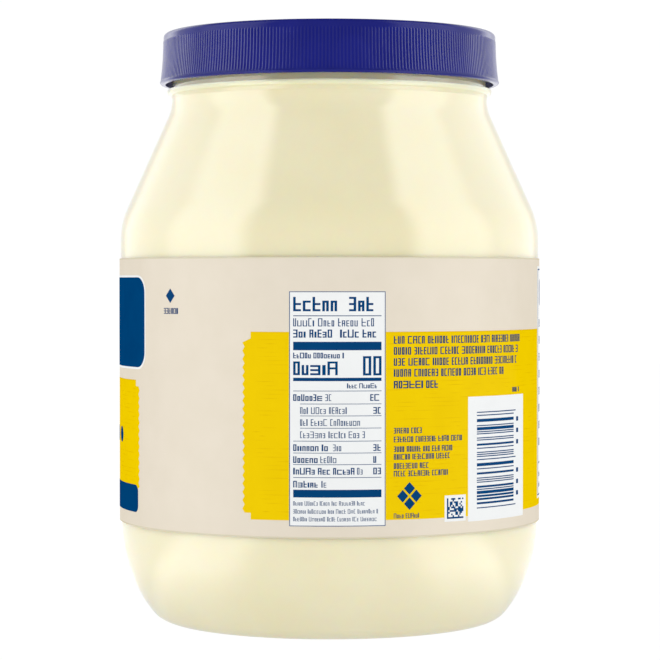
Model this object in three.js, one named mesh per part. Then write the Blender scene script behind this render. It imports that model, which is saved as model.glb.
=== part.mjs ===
// Wide-mouth mayonnaise jar: a clear blown jar, full of mayonnaise, with a wrap-round film label
// and a blue screw cap whose skirt is ribbed. Millimetres, +Z up. The origin is the centre of the
// foot, on the surface that the jar stands on.

import * as THREE from "three";

// Overall size
const TOTAL_HEIGHT = 180.6;
const SIDES = 60;

// Straight wall, under the label
const JAR_RADIUS = 64.5;
const WALL = 1.0;
const FILL_GAP = 0.3;

// Foot and heel: a tight arc up from the foot, then a wide one that runs into the wall
const FOOT_INNER_RADIUS = 45;
const FOOT_ROUND = 8.3;
const HEEL_RADIUS = 44.4;
const HEEL_TURN = THREE.MathUtils.degToRad(38.4);
const PUSH_UP = 4.5;

// Shoulder: an arc off the wall, a straight cone, and a hollow arc into the waist
const SHOULDER_START = 116.9;
const SHOULDER_RADIUS = 25;
const CONE_ANGLE = THREE.MathUtils.degToRad(24.2);
const WAIST_RADIUS = 48.6;
const WAIST_HEIGHT = 160.6;

// Neck: the bead under the cap, then the tube that the cap screws down on
const BEAD_RADIUS = 50.1;
const BEAD_ROUND = 1.2;
const BEAD_BOTTOM = 161.4;
const BEAD_TOP = 164;
const NECK_RADIUS = 48.3;
const NECK_WALL = 1.8;
const RIM_CHAMFER = 0.4;
const FILL_LEVEL = 170;

// Label: a skin round the straight wall
const LABEL_INNER_RADIUS = 64.7;
const LABEL_RADIUS = 65;
const LABEL_BOTTOM = 31.1;
const LABEL_TOP = 111.4;

// Cap
const CAP_BOTTOM = 164.9;
const CAP_RADIUS = 51.35;
const CAP_CORNER = 1.3;
const CAP_FLARE = 0.8;
const CAP_TOP_THICKNESS = 1.6;
const CAP_SIDES = 78;
const CAP_RIM_RADIUS = 52.4;
const CAP_RIM_ROUND = 0.8;
const CAP_RIM_INNER_RADIUS = 50.7;
const CAP_CEILING_RADIUS = 49.8;
const CAP_CLEARANCE = 0.3;
const PANEL_RADIUS = 46.5;
const PANEL_DEPTH = 0.4;
const RIB_COUNT = 312;
const RIB_DEPTH = 0.2;
const RIB_TOP = 178.3;
const RIB_BOTTOM = 166.3;
const RIB_RUNOUT = 0.3;

const CAP_CEILING = TOTAL_HEIGHT - CAP_TOP_THICKNESS;
const RIM_HEIGHT = CAP_CEILING - CAP_CLEARANCE;

// Points of an elliptical arc in a profile, each as (radius, height)
function arc(centreRadius, centreHeight, semiWidth, semiHeight, start, end, steps) {
  return Array.from({ length: steps + 1 }, (_, i) => {
    const angle = start + ((end - start) * i) / steps;
    return new THREE.Vector2(
      centreRadius + semiWidth * Math.cos(angle),
      centreHeight + semiHeight * Math.sin(angle),
    );
  });
}

// Underside: a shallow push-up from the axis to the foot, lifted by the inset
function baseOutline(inset) {
  const steps = 3;
  return Array.from({ length: steps + 1 }, (_, i) => {
    const share = i / steps;
    return new THREE.Vector2(FOOT_INNER_RADIUS * share, inset + PUSH_UP * (1 - share * share));
  });
}

// Heel, wall, shoulder and waist, moved inwards by the inset. Arcs that share their angles keep
// the facets of wall and filling parallel.
function bodyOutline(inset) {
  const arcGap = HEEL_RADIUS - FOOT_ROUND;
  const heelStart = FOOT_ROUND + arcGap * Math.sin(HEEL_TURN);
  const coneStartRadius = JAR_RADIUS - SHOULDER_RADIUS * (1 - Math.cos(CONE_ANGLE));
  const coneStartHeight = SHOULDER_START + SHOULDER_RADIUS * Math.sin(CONE_ANGLE);
  const coneRadiusAtWaist = coneStartRadius - Math.tan(CONE_ANGLE) * (WAIST_HEIGHT - coneStartHeight);
  const waistCurve = (WAIST_RADIUS - coneRadiusAtWaist) / (1 / Math.cos(CONE_ANGLE) - 1);
  const foot = arc(
    JAR_RADIUS - HEEL_RADIUS + arcGap * Math.cos(HEEL_TURN),
    FOOT_ROUND,
    FOOT_ROUND - inset,
    FOOT_ROUND - inset,
    -Math.PI / 2,
    -HEEL_TURN,
    3,
  );
  const heel = arc(
    JAR_RADIUS - HEEL_RADIUS,
    heelStart,
    HEEL_RADIUS - inset,
    HEEL_RADIUS - inset,
    -HEEL_TURN,
    0,
    3,
  );
  const shoulder = arc(
    JAR_RADIUS - SHOULDER_RADIUS,
    SHOULDER_START,
    SHOULDER_RADIUS - inset,
    SHOULDER_RADIUS - inset,
    0,
    CONE_ANGLE,
    3,
  );
  const waist = arc(
    WAIST_RADIUS + waistCurve,
    WAIST_HEIGHT,
    waistCurve + inset,
    waistCurve + inset,
    Math.PI + CONE_ANGLE,
    Math.PI,
    3,
  );
  return [...foot, ...heel.slice(1), ...shoulder, ...waist];
}

// Rounded ring that stands out of the neck just below the cap, and the flat step above it
function beadOutline() {
  const middle = (BEAD_BOTTOM + BEAD_TOP) / 2;
  const half = (BEAD_TOP - BEAD_BOTTOM) / 2;
  return arc(BEAD_RADIUS - BEAD_ROUND, middle, BEAD_ROUND, half, -Math.PI / 2, Math.PI / 2, 4);
}

function jarOutline() {
  const boreRadius = NECK_RADIUS - NECK_WALL;
  const outside = [
    ...baseOutline(0),
    ...bodyOutline(0),
    ...beadOutline(),
    new THREE.Vector2(NECK_RADIUS, BEAD_TOP),
    new THREE.Vector2(NECK_RADIUS, RIM_HEIGHT - RIM_CHAMFER),
    new THREE.Vector2(NECK_RADIUS - RIM_CHAMFER, RIM_HEIGHT),
  ];
  const inside = [
    ...baseOutline(WALL),
    ...bodyOutline(WALL),
    new THREE.Vector2(boreRadius, BEAD_TOP),
    new THREE.Vector2(boreRadius, RIM_HEIGHT - RIM_CHAMFER),
    new THREE.Vector2(boreRadius + RIM_CHAMFER, RIM_HEIGHT),
  ];
  return [...outside, ...inside.reverse()];
}

function mayonnaiseOutline() {
  const radius = NECK_RADIUS - NECK_WALL - FILL_GAP;
  return [
    ...baseOutline(WALL + FILL_GAP),
    ...bodyOutline(WALL + FILL_GAP),
    new THREE.Vector2(radius, BEAD_TOP),
    new THREE.Vector2(radius, FILL_LEVEL),
    new THREE.Vector2(0, FILL_LEVEL),
  ];
}

function labelOutline() {
  return [
    new THREE.Vector2(LABEL_INNER_RADIUS, LABEL_BOTTOM),
    new THREE.Vector2(LABEL_RADIUS, LABEL_BOTTOM),
    new THREE.Vector2(LABEL_RADIUS, LABEL_TOP),
    new THREE.Vector2(LABEL_INNER_RADIUS, LABEL_TOP),
    new THREE.Vector2(LABEL_INNER_RADIUS, LABEL_BOTTOM),
  ];
}

// Solid of revolution about +Z
function turned(outline) {
  return new THREE.LatheGeometry(outline, SIDES).rotateX(Math.PI / 2);
}

// One level of the cap: points round the axis, each at the radius that its index gives
function ring(count, height, radiusOf) {
  return Array.from({ length: count }, (_, i) => {
    const angle = (2 * Math.PI * i) / count;
    const radius = radiusOf(i);
    return new THREE.Vector3(radius * Math.cos(angle), radius * Math.sin(angle), height);
  });
}

// Closed surface through rings, where each ring has as many points as the one before it or a
// whole multiple or fraction of them. Each side of the coarser ring carries a fan of triangles.
function skin(rings) {
  const starts = [];
  const positions = [];
  for (const points of rings) {
    starts.push(positions.length / 3);
    for (const point of points) {
      positions.push(point.x, point.y, point.z);
    }
  }
  const faces = [];
  const addFace = (a, b, c, turnOver) => faces.push(...(turnOver ? [a, c, b] : [a, b, c]));
  for (let level = 0; level + 1 < rings.length; level += 1) {
    const upperIsFine = rings[level + 1].length >= rings[level].length;
    const coarseLevel = upperIsFine ? level : level + 1;
    const fineLevel = upperIsFine ? level + 1 : level;
    const coarseCount = rings[coarseLevel].length;
    const fineCount = rings[fineLevel].length;
    const share = fineCount / coarseCount;
    const coarse = (i) => starts[coarseLevel] + (i % coarseCount);
    const fine = (i) => starts[fineLevel] + (i % fineCount);
    for (let side = 0; side < coarseCount; side += 1) {
      const middle = coarseCount === 1 ? share : Math.ceil(share / 2);
      for (let step = 0; step < share; step += 1) {
        const apex = coarse(step < middle ? side : side + 1);
        addFace(apex, fine(side * share + step + 1), fine(side * share + step), !upperIsFine);
      }
      if (coarseCount > 1) {
        addFace(coarse(side), coarse(side + 1), fine(side * share + middle), !upperIsFine);
      }
    }
  }
  const geometry = new THREE.BufferGeometry();
  geometry.setAttribute("position", new THREE.Float32BufferAttribute(positions, 3));
  geometry.setIndex(faces);
  geometry.computeVertexNormals();
  return geometry;
}

// Skirt radius over the rib crests: straight at the top, flaring towards the rim
function skirtRadius(height) {
  const share = (RIB_TOP - height) / (RIB_TOP - RIB_BOTTOM);
  return CAP_RADIUS + CAP_FLARE * share * share;
}

function plainRing(radius, height) {
  return ring(CAP_SIDES, height, () => radius);
}

function ribbedRing(height) {
  return ring(2 * RIB_COUNT, height, (i) => skirtRadius(height) - (i % 2) * RIB_DEPTH);
}

function pole(height) {
  return ring(1, height, () => 0);
}

function capGeometry() {
  const smoothRadius = CAP_RADIUS - RIB_DEPTH;
  const cornerRadius = smoothRadius - CAP_CORNER;
  const cornerHeight = TOTAL_HEIGHT - CAP_CORNER;
  const corner = arc(cornerRadius, cornerHeight, CAP_CORNER, CAP_CORNER, 0, Math.PI / 2, 2);
  const flareStep = RIB_TOP - 0.6 * (RIB_TOP - RIB_BOTTOM);
  return skin([
    pole(CAP_CEILING),
    plainRing(CAP_CEILING_RADIUS, CAP_CEILING),
    plainRing(CAP_RIM_INNER_RADIUS, CAP_BOTTOM),
    plainRing(CAP_RIM_RADIUS - CAP_RIM_ROUND, CAP_BOTTOM),
    plainRing(CAP_RIM_RADIUS, CAP_BOTTOM + CAP_RIM_ROUND),
    plainRing(CAP_RIM_RADIUS, RIB_BOTTOM - RIB_RUNOUT),
    ribbedRing(RIB_BOTTOM),
    ribbedRing(flareStep),
    ribbedRing(RIB_TOP - RIB_RUNOUT),
    plainRing(smoothRadius, RIB_TOP),
    ...corner.map((point) => plainRing(point.x, point.y)),
    plainRing(PANEL_RADIUS + PANEL_DEPTH, TOTAL_HEIGHT),
    plainRing(PANEL_RADIUS, TOTAL_HEIGHT - PANEL_DEPTH),
    pole(TOTAL_HEIGHT - PANEL_DEPTH),
  ]);
}

function named(name, geometry, material) {
  const mesh = new THREE.Mesh(geometry, material);
  mesh.name = name;
  return mesh;
}

const clearPlastic = new THREE.MeshStandardMaterial({
  color: 0xeef2ee,
  roughness: 0.08,
  metalness: 0,
  transparent: true,
  opacity: 0.25,
});
const mayonnaiseCream = new THREE.MeshStandardMaterial({
  color: 0xf6eecb,
  roughness: 0.4,
  metalness: 0,
});
const labelFilm = new THREE.MeshStandardMaterial({
  color: 0xe6dccb,
  roughness: 0.35,
  metalness: 0,
});
const bluePlastic = new THREE.MeshStandardMaterial({
  color: 0x23267a,
  roughness: 0.3,
  metalness: 0,
});

const part = new THREE.Group();
part.add(named("jar", turned(jarOutline()), clearPlastic));
part.add(named("mayonnaise", turned(mayonnaiseOutline()), mayonnaiseCream));
part.add(named("label", turned(labelOutline()), labelFilm));
part.add(named("cap", capGeometry(), bluePlastic));

export default part;
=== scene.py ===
"""Large mayonnaise jar: clear blown jar, cream filling, wrap-round film label and ribbed blue cap.

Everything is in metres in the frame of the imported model: +Z up, the camera side towards -Y.
"""

import logging
import math
import random
from dataclasses import dataclass, field
from enum import Enum

import bmesh
import bpy
import numpy as np
from mathutils import Matrix, Vector


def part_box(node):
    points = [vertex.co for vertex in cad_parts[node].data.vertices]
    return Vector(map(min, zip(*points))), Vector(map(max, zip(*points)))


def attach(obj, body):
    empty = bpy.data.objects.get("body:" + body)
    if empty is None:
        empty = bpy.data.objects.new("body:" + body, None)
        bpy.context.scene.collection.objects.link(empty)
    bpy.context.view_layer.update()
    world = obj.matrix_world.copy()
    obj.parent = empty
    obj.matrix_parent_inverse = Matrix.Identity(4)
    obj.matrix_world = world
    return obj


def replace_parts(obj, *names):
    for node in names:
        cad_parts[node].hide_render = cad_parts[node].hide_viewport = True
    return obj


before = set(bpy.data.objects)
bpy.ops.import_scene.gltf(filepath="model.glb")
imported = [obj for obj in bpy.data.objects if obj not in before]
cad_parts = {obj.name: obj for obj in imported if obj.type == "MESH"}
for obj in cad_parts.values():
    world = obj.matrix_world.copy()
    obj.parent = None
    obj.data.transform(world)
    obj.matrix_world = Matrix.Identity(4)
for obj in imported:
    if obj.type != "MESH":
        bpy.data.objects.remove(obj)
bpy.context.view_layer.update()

MM = 0.001
BODY = "root"
CAP_RIBS = 312
RIB_BOTTOM = 166.3 * MM
RIB_TOP = 178.3 * MM
# Points closer than this count as one, in metres.
JOINED = 1e-8
# Edges that turn by more than this stay sharp.
CREASE_DEG = 35.0
log = logging.getLogger("mayonnaise_jar")

Point = tuple[float, float]


def linear(hex_colour: str) -> tuple[float, float, float, float]:
    """Turn an sRGB hex colour into linear light.

    Args:
        hex_colour: Six hex digits with a leading hash sign.

    Returns:
        Red, green, blue and an alpha of 1.
    """
    digits = hex_colour.lstrip("#")
    parts = [int(digits[i : i + 2], 16) / 255 for i in (0, 2, 4)]
    light = [p / 12.92 if p <= 0.04045 else ((p + 0.055) / 1.055) ** 2.4 for p in parts]
    return (light[0], light[1], light[2], 1.0)


def per_size(size_mm: float) -> float:
    """Return the scale at which a texture's features repeat every size_mm millimetres."""
    return 1 / (size_mm * MM)


def add_node(
    tree: bpy.types.NodeTree,
    kind: str,
    settings: dict[str, object] | None = None,
    inputs: dict[str | int, object] | None = None,
) -> bpy.types.Node:
    """Add one node, set its properties and fill or link its inputs.

    Args:
        tree: The node tree that gets the node.
        kind: Blender's name of the node type.
        settings: Properties of the node. "stops" gives a colour ramp's (place, colour) pairs.
        inputs: Input sockets by name or number, each with a value or the socket it is linked from.

    Returns:
        The new node.
    """
    node = tree.nodes.new(kind)
    for name, value in (settings or {}).items():
        if name != "stops":
            setattr(node, name, value)
            continue
        elements = node.color_ramp.elements
        while len(elements) < len(value):
            elements.new(1.0)
        for element, (place, colour) in zip(elements, value):
            element.position = place
            element.color = colour
    for name, value in (inputs or {}).items():
        socket = node.inputs[name]
        if isinstance(value, bpy.types.NodeSocket):
            tree.links.new(value, socket)
        else:
            socket.default_value = value
    return node


def azimuth(tree: bpy.types.NodeTree, direction: bpy.types.NodeSocket) -> bpy.types.NodeSocket:
    """Add the angle of a direction from the camera's side, alike to the left and the right.

    Args:
        tree: The node tree.
        direction: The direction, or a point seen from the jar's axis.

    Returns:
        The angle's output socket, in radians from 0 to pi.
    """
    axes = add_node(tree, "ShaderNodeSeparateXYZ", inputs={0: direction})
    aside = add_node(tree, "ShaderNodeMath", {"operation": "ABSOLUTE"}, {0: axes.outputs["X"]})
    forward = add_node(tree, "ShaderNodeMath", {"operation": "MULTIPLY"}, {0: axes.outputs["Y"], 1: -1.0})
    angle = add_node(
        tree,
        "ShaderNodeMath",
        {"operation": "ARCTAN2"},
        {0: aside.outputs[0], 1: forward.outputs[0]},
    )
    return angle.outputs[0]


def window(
    tree: bpy.types.NodeTree, angle: bpy.types.NodeSocket, span_deg: Point, soft_deg: float
) -> bpy.types.NodeSocket:
    """Add a value that is 1 between two angles and falls off softly outside them.

    Args:
        tree: The node tree.
        angle: The angle, in radians.
        span_deg: Where the window opens and closes.
        soft_deg: Half the width of each soft edge.

    Returns:
        The value's output socket.
    """
    sides = []
    for middle, start in zip(span_deg, (0.0, 1.0)):
        side = add_node(
            tree,
            "ShaderNodeMapRange",
            {"interpolation_type": "SMOOTHSTEP"},
            {
                "Value": angle,
                "From Min": math.radians(middle - soft_deg),
                "From Max": math.radians(middle + soft_deg),
                "To Min": start,
                "To Max": 1.0 - start,
            },
        )
        sides.append(side.outputs["Result"])
    both = add_node(tree, "ShaderNodeMath", {"operation": "MULTIPLY"}, {0: sides[0], 1: sides[1]})
    return both.outputs[0]


def by_angle(
    tree: bpy.types.NodeTree,
    facing: bpy.types.NodeSocket | float,
    edge_on: float,
    turn_deg: Point,
) -> bpy.types.NodeSocket:
    """Add a value that goes from one number to another as a surface turns away from the eye.

    Args:
        tree: The material's node tree.
        facing: The value up to the first angle.
        edge_on: The value beyond the second angle.
        turn_deg: The two angles between the surface's normal and the eye.

    Returns:
        The value's output socket.
    """
    turned = add_node(tree, "ShaderNodeLayerWeight", inputs={"Blend": 0.5})
    value = add_node(
        tree,
        "ShaderNodeMapRange",
        inputs={
            "Value": turned.outputs["Facing"],
            "From Min": 1 - math.cos(math.radians(turn_deg[0])),
            "From Max": 1 - math.cos(math.radians(turn_deg[1])),
            "To Min": facing,
            "To Max": edge_on,
        },
    )
    return value.outputs["Result"]


def clouded(
    tree: bpy.types.NodeTree, colours: tuple[str, str], size_mm: float, detail: float, stops: Point
) -> bpy.types.NodeSocket:
    """Add a colour that drifts between two shades in soft clouds.

    Args:
        tree: The material's node tree.
        colours: The two shades as sRGB hex.
        size_mm: The size of a cloud.
        detail: How many finer layers the clouds have.
        stops: The heights of the clouds' pattern at which the two shades are full.

    Returns:
        The colour's output socket.
    """
    where = add_node(tree, "ShaderNodeTexCoord").outputs["Object"]
    pattern = {"Vector": where, "Scale": per_size(size_mm), "Detail": detail}
    cloud = add_node(tree, "ShaderNodeTexNoise", inputs=pattern)
    shades = [(stop, linear(colour)) for stop, colour in zip(stops, colours)]
    colour = add_node(tree, "ShaderNodeValToRGB", {"stops": shades}, {"Fac": cloud.outputs["Fac"]})
    return colour.outputs["Color"]


def uneven(
    tree: bpy.types.NodeTree, size_mm: float, height_mm: float, detail: float, roughness: float = 0.5
) -> tuple[bpy.types.NodeSocket, bpy.types.NodeSocket]:
    """Add soft bumps of a real size and height.

    Args:
        tree: The material's node tree.
        size_mm: The size of a bump across.
        height_mm: Its height.
        detail: How many finer layers the bumps have.
        roughness: How strong those finer layers are.

    Returns:
        The bumps' pattern, from 0 to 1, and the bumped normal.
    """
    where = add_node(tree, "ShaderNodeTexCoord").outputs["Object"]
    pattern = {"Vector": where, "Scale": per_size(size_mm), "Detail": detail, "Roughness": roughness}
    height = add_node(tree, "ShaderNodeTexNoise", inputs=pattern).outputs["Fac"]
    relief = {"Strength": 1.0, "Distance": height_mm * MM, "Height": height}
    bump = add_node(tree, "ShaderNodeBump", inputs=relief)
    return height, bump.outputs["Normal"]


@dataclass(frozen=True)
class Finish:
    """A surface finish. A subclass says what its shader is."""

    name: str

    def surface(self, tree: bpy.types.NodeTree) -> bpy.types.NodeSocket:
        """Build the shader and return its output socket."""
        raise NotImplementedError

    def material(self) -> bpy.types.Material:
        """Make the finish's material, or find it where it is made already.

        Returns:
            The material.
        """
        known = bpy.data.materials.get(self.name)
        if known:
            return known
        made = bpy.data.materials.new(self.name)
        made.use_nodes = True
        made.node_tree.nodes.clear()
        add_node(
            made.node_tree,
            "ShaderNodeOutputMaterial",
            inputs={"Surface": self.surface(made.node_tree)},
        )
        return made


@dataclass(frozen=True)
class BlownPet(Finish):
    """Clear stretch-blown PET: a hard gloss that waves slightly where the wall's thickness varies."""

    tint: str = "#fbfdfa"
    ior: float = 1.57
    roughness: float = 0.04
    wave_mm: float = 38.0
    wave_height_mm: float = 0.05

    def surface(self, tree: bpy.types.NodeTree) -> bpy.types.NodeSocket:
        """Refract what the eye sees, and let lamps and scattered light through unbent.

        Args:
            tree: The material's node tree.

        Returns:
            The mixed shader's output socket.
        """
        waved = uneven(tree, self.wave_mm, self.wave_height_mm, detail=1.0, roughness=0.4)[1]
        plastic = add_node(
            tree,
            "ShaderNodeBsdfPrincipled",
            inputs={
                "Base Color": linear(self.tint),
                "Transmission Weight": 1.0,
                "IOR": self.ior,
                "Roughness": self.roughness,
                "Normal": waved,
            },
        )
        clear = add_node(tree, "ShaderNodeBsdfTransparent", inputs={"Color": linear(self.tint)})
        ray = add_node(tree, "ShaderNodeLightPath")
        lamp_or_scatter = add_node(
            tree,
            "ShaderNodeMath",
            {"operation": "MAXIMUM"},
            {0: ray.outputs["Is Shadow Ray"], 1: ray.outputs["Is Diffuse Ray"]},
        )
        mixed = add_node(
            tree,
            "ShaderNodeMixShader",
            inputs={0: lamp_or_scatter.outputs[0], 1: plastic.outputs["BSDF"], 2: clear.outputs["BSDF"]},
        )
        return mixed.outputs["Shader"]


@dataclass(frozen=True)
class EggEmulsion(Finish):
    """Whipped oil and egg: a dense cream that scatters light softly, with faint lighter clouds."""

    cream: str = "#f3e9c9"
    cloud: str = "#f6ecd0"
    cloud_mm: float = 24.0
    scatter_mm: float = 2.2
    scatter_share: tuple[float, float, float] = (1.0, 0.8, 0.5)
    roughness: float = 0.5
    gloss: float = 0.15

    def surface(self, tree: bpy.types.NodeTree) -> bpy.types.NodeSocket:
        """Scatter light below a satin skin that lies against the wall.

        Args:
            tree: The material's node tree.

        Returns:
            The shader's output socket.
        """
        colour = clouded(tree, (self.cream, self.cloud), self.cloud_mm, 3.0, (0.35, 0.7))
        emulsion = add_node(
            tree,
            "ShaderNodeBsdfPrincipled",
            inputs={
                "Base Color": colour,
                "Roughness": self.roughness,
                "Specular IOR Level": self.gloss,
                "Subsurface Weight": 1.0,
                "Subsurface Radius": self.scatter_share,
                "Subsurface Scale": self.scatter_mm * MM,
            },
        )
        return emulsion.outputs["BSDF"]


@dataclass(frozen=True)
class PrintedFilm(Finish):
    """Satin BOPP film or a gravure ink on it: even colour, fine orange peel, no glare edge-on."""

    colour: str = "#ffffff"
    mottle: str = "#ffffff"
    mottle_mm: float = 9.0
    ior: float = 1.49
    roughness: float = 0.45
    gloss: float = 0.03
    gloss_fades_deg: Point = (44, 64)
    # Real peel is about 0.2 mm across. It is drawn four times as coarse, so that it shows.
    peel_mm: float = 0.8
    peel_height_mm: float = 0.004

    def surface(self, tree: bpy.types.NodeTree) -> bpy.types.NodeSocket:
        """Colour the film with a slight mottle and roughen it.

        Args:
            tree: The material's node tree.

        Returns:
            The shader's output socket.
        """
        film = add_node(
            tree,
            "ShaderNodeBsdfPrincipled",
            inputs={
                "Base Color": clouded(tree, (self.colour, self.mottle), self.mottle_mm, 4.0, (0.3, 0.7)),
                "Roughness": self.roughness,
                "IOR": self.ior,
                "Specular IOR Level": by_angle(tree, self.gloss, 0.0, self.gloss_fades_deg),
                "Normal": uneven(tree, self.peel_mm, self.peel_height_mm, detail=1.0)[1],
            },
        )
        return film.outputs["BSDF"]


@dataclass(frozen=True)
class MouldedPolypropylene(Finish):
    """Injection-moulded polypropylene: cobalt pigment through the plastic and a waxy gloss.

    The ribs' crests are rubbed shinier than the grooves, which draws fine bright lines at the sides.
    """

    pigment: str = "#1a1f74"
    pigment_flow: str = "#1d227a"
    # The pigment mixes a little unevenly as the melt flows, in clouds of about this size.
    flow_mm: float = 9.0
    ior: float = 1.49
    roughness: float = 0.14
    roughness_spread: float = 0.02
    gloss: float = 0.15
    gloss_groove: float = 0.0
    gloss_crest: float = 0.5
    # The cosine of the turn within a rib at which the rubbed part starts, 1 being the crest.
    crest_start: float = -0.3
    gloss_edge_on: float = 1.5
    gloss_rises_deg: Point = (66, 80)
    haze: float = 0.14
    haze_roughness: float = 0.3
    haze_colour: str = "#9a9cff"
    # The tool's polish leaves marks of about 0.1 mm. They are drawn five times as coarse.
    polish_mm: float = 0.5
    polish_height_mm: float = 0.0004

    def surface(self, tree: bpy.types.NodeTree) -> bpy.types.NodeSocket:
        """Gloss with slightly uneven roughness, as the tool's polish leaves it.

        Args:
            tree: The material's node tree.

        Returns:
            The shader's output socket.
        """
        polish, polished = uneven(tree, self.polish_mm, self.polish_height_mm, detail=2.0)
        roughness = add_node(
            tree,
            "ShaderNodeMapRange",
            inputs={
                "Value": polish,
                "From Min": 0.3,
                "From Max": 0.7,
                "To Min": self.roughness - self.roughness_spread,
                "To Max": self.roughness + self.roughness_spread,
            },
        )
        where = add_node(tree, "ShaderNodeTexCoord").outputs["Object"]
        axes = add_node(tree, "ShaderNodeSeparateXYZ", inputs={0: where})
        on_ribs = add_node(
            tree,
            "ShaderNodeMath",
            {"operation": "COMPARE"},
            {0: axes.outputs["Z"], 1: (RIB_TOP + RIB_BOTTOM) / 2, 2: (RIB_TOP - RIB_BOTTOM) / 2},
        )
        turn = add_node(
            tree,
            "ShaderNodeMath",
            {"operation": "MULTIPLY"},
            {0: azimuth(tree, where), 1: CAP_RIBS},
        )
        crest = add_node(tree, "ShaderNodeMath", {"operation": "COSINE"}, {0: turn.outputs[0]})
        rubbed = add_node(
            tree,
            "ShaderNodeMapRange",
            inputs={
                "Value": crest.outputs[0],
                "From Min": self.crest_start,
                "To Min": self.gloss_groove,
                "To Max": self.gloss_crest,
            },
        )
        facing_gloss = add_node(
            tree,
            "ShaderNodeMix",
            {"data_type": "FLOAT"},
            {0: on_ribs.outputs[0], 2: self.gloss, 3: rubbed.outputs["Result"]},
        )
        shades = (self.pigment, self.pigment_flow)
        specular = by_angle(tree, facing_gloss.outputs[0], self.gloss_edge_on, self.gloss_rises_deg)
        plastic = add_node(
            tree,
            "ShaderNodeBsdfPrincipled",
            inputs={
                "Base Color": clouded(tree, shades, self.flow_mm, 3.0, (0.35, 0.65)),
                "Roughness": roughness.outputs["Result"],
                "IOR": self.ior,
                "Specular IOR Level": specular,
                "Sheen Weight": self.haze,
                "Sheen Roughness": self.haze_roughness,
                "Sheen Tint": linear(self.haze_colour),
                "Normal": polished,
            },
        )
        return plastic.outputs["BSDF"]


@dataclass(frozen=True)
class PaperSweep(Finish):
    """White studio paper whose glow paints the side panels' light more strongly to the left and the right,
    and a shadow round the jar's foot.
    """

    glow: float = 0.95
    glow_on_jar: float = 0.8
    side_glow: float = 0.2
    side_glow_mirrored: float = 2.1
    side_deg: Point = (36.0, 80.0)
    beyond_deg: Point = (80.0, 190.0)
    beyond_share: float = 0.2
    soft_deg: float = 10.0
    # The glow that the jar gets close round its foot is lower: a painted shadow.
    glow_in_foot_shadow: float = 0.68
    near: float = 0.05
    far: float = 0.11
    paper: str = "#5a5a5a"

    def surface(self, tree: bpy.types.NodeTree) -> bpy.types.NodeSocket:
        """Add a matt surface to a glow that is even to the camera and has bright sides to the jar, dimmed
        close round the jar's foot as a painted shadow.

        Args:
            tree: The material's node tree.

        Returns:
            The shader's output socket.
        """
        matt = add_node(tree, "ShaderNodeBsdfDiffuse", inputs={"Color": linear(self.paper)})
        where = add_node(tree, "ShaderNodeTexCoord").outputs["Object"]
        across = azimuth(tree, where)
        beyond = window(tree, across, self.beyond_deg, self.soft_deg)
        at_side = window(tree, across, self.side_deg, self.soft_deg)
        beside = add_node(
            tree,
            "ShaderNodeMath",
            {"operation": "MULTIPLY_ADD"},
            {0: beyond, 1: self.beyond_share, 2: at_side},
        )
        distance = add_node(tree, "ShaderNodeVectorMath", {"operation": "LENGTH"}, {0: where})
        away = add_node(
            tree,
            "ShaderNodeMapRange",
            {"interpolation_type": "SMOOTHSTEP"},
            {"Value": distance.outputs["Value"], "From Min": self.near, "From Max": self.far},
        )
        # Painted shadow: close round the foot, the glow that the jar gets falls from glow_on_jar to the
        # lower level at the foot.
        even = add_node(
            tree,
            "ShaderNodeMapRange",
            inputs={
                "Value": away.outputs["Result"],
                "To Min": self.glow_in_foot_shadow,
                "To Max": self.glow_on_jar,
            },
        )
        sides = add_node(
            tree,
            "ShaderNodeMath",
            {"operation": "MULTIPLY"},
            {0: beside.outputs[0], 1: away.outputs["Result"]},
        )
        ray = add_node(tree, "ShaderNodeLightPath")
        at_sides = add_node(
            tree,
            "ShaderNodeMapRange",
            inputs={
                "Value": ray.outputs["Is Glossy Ray"],
                "To Min": self.side_glow,
                "To Max": self.side_glow_mirrored,
            },
        )
        on_jar = add_node(
            tree,
            "ShaderNodeMath",
            {"operation": "MULTIPLY_ADD"},
            {0: sides.outputs[0], 1: at_sides.outputs["Result"], 2: even.outputs["Result"]},
        )
        strength = add_node(
            tree,
            "ShaderNodeMix",
            {"data_type": "FLOAT"},
            {0: ray.outputs["Is Camera Ray"], 2: on_jar.outputs[0], 3: self.glow},
        )
        lit = add_node(
            tree,
            "ShaderNodeEmission",
            inputs={"Color": (1.0, 1.0, 1.0, 1.0), "Strength": strength.outputs[0]},
        )
        both = add_node(tree, "ShaderNodeAddShader", inputs={0: matt.outputs[0], 1: lit.outputs[0]})
        return both.outputs[0]


class Shade(Enum):
    """The finishes that the object uses."""

    PET = BlownPet("clear_blown_pet")
    CREAM = EggEmulsion("egg_and_oil_emulsion")
    FILM = PrintedFilm("satin_bopp_film_stone", "#e2d8c6", "#e5dbca", gloss=0.28)
    # A darker beige, painted as shade in strips along the label's top and bottom edges.
    EDGE_SHADE = PrintedFilm("film_edge_painted_shade", "#d8cfb4", "#dad1b8")
    YELLOW = PrintedFilm("gravure_ink_yellow", "#f1cd00", "#edc800")
    STREAK = PrintedFilm("gravure_ink_ochre", "#e7bf00", "#e9c200")
    WHITE = PrintedFilm("gravure_ink_white", "#eff1f1", "#f2f4f4")
    NAVY = PrintedFilm("gravure_ink_navy", "#003d70", "#004276")
    BLUE = MouldedPolypropylene("moulded_polypropylene_cobalt")
    SWEEP = PaperSweep("white_studio_paper")


def ring(count: int, height: float, radius: float | np.ndarray) -> np.ndarray:
    """Return one level of a turned form.

    Args:
        count: The number of points, 1 for a point on the axis.
        height: The level's height.
        radius: One radius, or one for each point.

    Returns:
        An array of points.
    """
    angles = np.arange(count) * (2 * math.pi / count)
    radii = np.broadcast_to(np.asarray(radius, float), (count,))
    return np.column_stack([radii * np.sin(angles), -radii * np.cos(angles), np.full(count, height)])


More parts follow.
